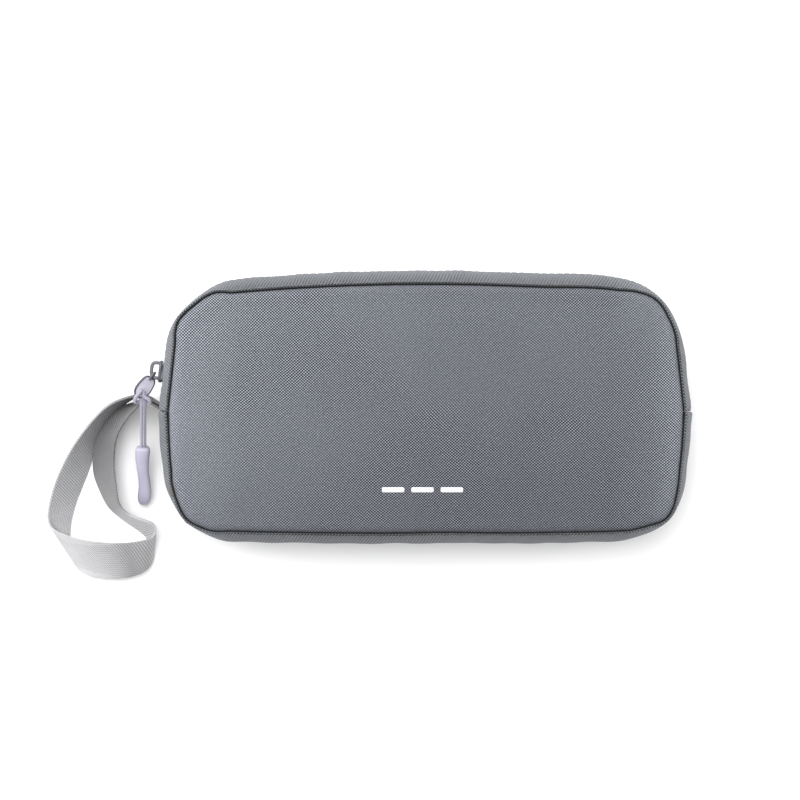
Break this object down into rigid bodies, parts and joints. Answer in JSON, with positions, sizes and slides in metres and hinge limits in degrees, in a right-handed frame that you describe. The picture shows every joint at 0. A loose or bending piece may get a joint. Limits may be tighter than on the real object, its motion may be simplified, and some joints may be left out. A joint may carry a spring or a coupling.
{
  "type": "cable organizer pouch",
  "caption": "Padded zip pouch with rounded corners, an opening front half, elastic loops inside, a corded zip pull and a flat wrist strap.",
  "frame": {"origin": "middle of the outer face of the back panel, which the pouch lies on", "axes": "+Z from the back panel to the front panel, +Y to the zipped long side, +X along the pouch"},
  "size_m": [0.27, 0.1296, 0.0562],
  "materials": {
    "outer_fabric": "coarse oxford weave, matt",
    "gusset_fabric": "fine weave, matt",
    "foam": "soft foam",
    "lining": "smooth fine lining",
    "binding": "woven tape",
    "zip_tape": "woven tape",
    "zip_coil": "nylon coil",
    "slider_metal": "satin enamel on zinc",
    "tab_metal": "satin enamel on zinc",
    "pull_cord": "braided cord",
    "grip": "soft moulded, satin",
    "webbing": "herringbone webbing",
    "elastic": "ribbed elastic",
    "mesh": "open mesh",
    "mark": "flat transfer print"
  },
  "bodies": {
    "pouch": {"back_panel": "outer_fabric", "back_foam": "foam", "back_lining": "lining", "back_binding": "binding", "front_panel_lower": "outer_fabric", "front_foam_lower": "foam", "front_lining_lower": "lining", "front_binding_lower": "binding", "bottom_gusset": "gusset_fabric", "bottom_gusset_lining": "lining", "zipper_strip_rear": "gusset_fabric", "zipper_tape_rear": "zip_tape", "zipper_coil_rear": "zip_coil", "zipper_end_stops": "zip_coil", "elastic_loops": "elastic", "mesh_pocket": "mesh", "mesh_pocket_hem": "elastic", "wrist_strap": "webbing", "print_mark": "mark"},
    "flap": {"front_panel_upper": "outer_fabric", "front_foam_upper": "foam", "front_lining_upper": "lining", "front_binding_upper": "binding", "zipper_strip_front": "gusset_fabric", "zipper_tape_front": "zip_tape", "zipper_coil_front": "zip_coil"},
    "slider": {"slider_body": "slider_metal", "slider_bridge": "slider_metal"},
    "tab": {"pull_tab": "tab_metal"},
    "pull": {"pull_cord": "pull_cord", "pull_grip": "grip"}
  },
  "joints": [
    {"name": "flap_open", "type": "hinge", "parent": "pouch", "child": "flap", "pos_m": [0, -0.0018, 0.0563], "axis": [1, 0, 0], "range_deg": [0, 45]},
    {"name": "zip_slide", "type": "slide", "parent": "pouch", "child": "slider", "axis": [0.1067, 0.9943, 0], "range_m": [0, 0.011]},
    {"name": "tab_swing", "type": "hinge", "parent": "slider", "child": "tab", "pos_m": [-0.11271, 0.01412, 0.027], "axis": [0, 0, -1], "range_deg": [0, 27.5]},
    {"name": "pull_lift", "type": "hinge", "parent": "tab", "child": "pull", "pos_m": [-0.11808, 0.00674, 0.02581], "axis": [-1, 0, 0], "range_deg": [0, 110]}
  ],
  "couplings": [
    {"joint": "tab_swing", "follows": "pull_lift", "ratio": 0.25}
  ]
}
